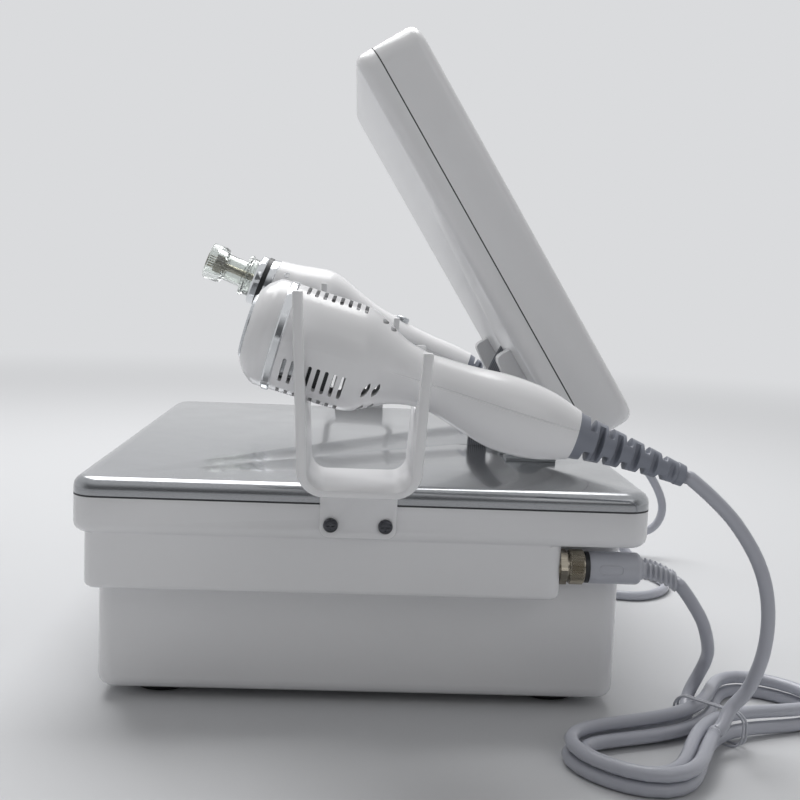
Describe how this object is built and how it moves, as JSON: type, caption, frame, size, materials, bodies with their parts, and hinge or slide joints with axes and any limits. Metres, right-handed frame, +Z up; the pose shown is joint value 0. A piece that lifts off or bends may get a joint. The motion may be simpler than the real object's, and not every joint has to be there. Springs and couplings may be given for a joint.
{
  "type": "radio frequency microneedle machine",
  "caption": "Table-top radio frequency skin machine with a tilting touch screen, a cooling handpiece and a needling handpiece in side cradles, on plug-in cords.",
  "frame": {"origin": "middle of the base on the table, under the middle of the rim", "axes": "+Z up, -Y towards the user, +X to the user's right, across both cradles"},
  "size_m": [0.5469, 0.4144, 0.3712],
  "materials": {
    "white_abs": "gloss",
    "silver_deck": "metallic gloss",
    "black_plastic": "satin",
    "foot_rubber": "matte",
    "steel": "brushed",
    "board": "satin",
    "aluminium": "machined",
    "chrome": "polished",
    "ribbon": "satin",
    "cord_jacket": "satin",
    "relief_rubber": "satin",
    "screen_glass": "polished",
    "display": "matte",
    "clear_plastic": "clear",
    "brass": "knurled",
    "ceramic": "matte"
  },
  "bodies": {
    "base": {"lower_case": "white_abs", "upper_case": "white_abs", "deck_plate": "silver_deck", "rubber_feet": "foot_rubber", "chassis_plate": "steel", "power_supply": "aluminium", "rf_board": "board", "control_board": "board", "board_standoffs": "brass", "power_inlet": "black_plastic", "power_switch": "black_plastic", "hinge_brackets": "steel", "hinge_pins": "steel", "ribbon_cable": "ribbon", "left_cradle": "white_abs", "right_cradle": "white_abs", "cradle_screws": "black_plastic", "left_socket": "brass", "right_socket": "brass", "left_plug_core": "black_plastic", "right_plug_core": "black_plastic", "left_plug_body": "relief_rubber", "right_plug_body": "relief_rubber", "left_handpiece_cord": "cord_jacket", "left_cord_hank": "cord_jacket", "left_plug_cord": "cord_jacket", "left_cord_tie": "cord_jacket", "right_handpiece_cord": "cord_jacket", "right_cord_hank": "cord_jacket", "right_plug_cord": "cord_jacket", "right_cord_tie": "cord_jacket"},
    "screen": {"screen_front_shell": "white_abs", "screen_rear_cover": "white_abs", "touch_glass": "screen_glass", "lcd_panel": "display", "screen_board": "board", "hinge_arms": "white_abs"},
    "rocker": {"power_rocker": "black_plastic"},
    "left_ring": {"left_lock_ring": "brass"},
    "right_ring": {"right_lock_ring": "brass"},
    "cooling_handpiece": {"cool_upper_shell": "white_abs", "cool_lower_shell": "white_abs", "cool_nose_cap": "white_abs", "cold_plate": "aluminium", "cool_trim_ring": "chrome", "cool_peltier": "ceramic", "cool_heatsink": "aluminium", "cool_fan_frame": "black_plastic", "cool_strain_relief": "relief_rubber"},
    "cooling_fan": {"cool_fan_rotor": "black_plastic"},
    "needling_handpiece": {"needle_upper_shell": "white_abs", "needle_lower_shell": "white_abs", "needle_collar": "chrome", "needle_cartridge": "clear_plastic", "needle_motor": "steel", "needle_strain_relief": "relief_rubber"},
    "needle_carriage": {"needle_array": "brass"},
    "finger_button": {"needle_button": "aluminium"}
  },
  "joints": [
    {"name": "screen_tilt", "type": "hinge", "parent": "base", "child": "screen", "pos_m": [0, -0.1, 0.134], "axis": [1, 0, 0], "range_deg": [-58, 22], "deforming": ["ribbon_cable"]},
    {"name": "rocker_tip", "type": "hinge", "parent": "base", "child": "rocker", "pos_m": [-0.1, 0.1388, 0.054], "axis": [0, 0, 1], "range_deg": [0, 16]},
    {"name": "left_ring_turn", "type": "hinge", "parent": "base", "child": "left_ring", "pos_m": [-0.171, -0.1135, 0.0835], "axis": [0, 1, 0], "continuous": true},
    {"name": "right_ring_turn", "type": "hinge", "parent": "base", "child": "right_ring", "pos_m": [0.171, -0.1135, 0.0835], "axis": [0, 1, 0], "continuous": true},
    {"name": "cooling_lift", "type": "slide", "parent": "base", "child": "cooling_handpiece", "axis": [0, 0, 1], "range_m": [0, 0.07]},
    {"name": "needling_lift", "type": "slide", "parent": "base", "child": "needling_handpiece", "axis": [0, 0, 1], "range_m": [0, 0.07]},
    {"name": "fan_spin", "type": "hinge", "parent": "cooling_handpiece", "child": "cooling_fan", "pos_m": [-0.218, 0.01983, 0.19663], "axis": [0, -0.9636, -0.2672], "continuous": true},
    {"name": "needle_stroke", "type": "slide", "parent": "needling_handpiece", "child": "needle_carriage", "axis": [0, 0.9367, 0.3502], "range_m": [0, 0.004]},
    {"name": "button_press", "type": "slide", "parent": "needling_handpiece", "child": "finger_button", "axis": [0, 0.3502, -0.9367], "range_m": [0, 0.0012], "stiffness_N_per_m": 500, "springref_m": -0.0006}
  ]
}
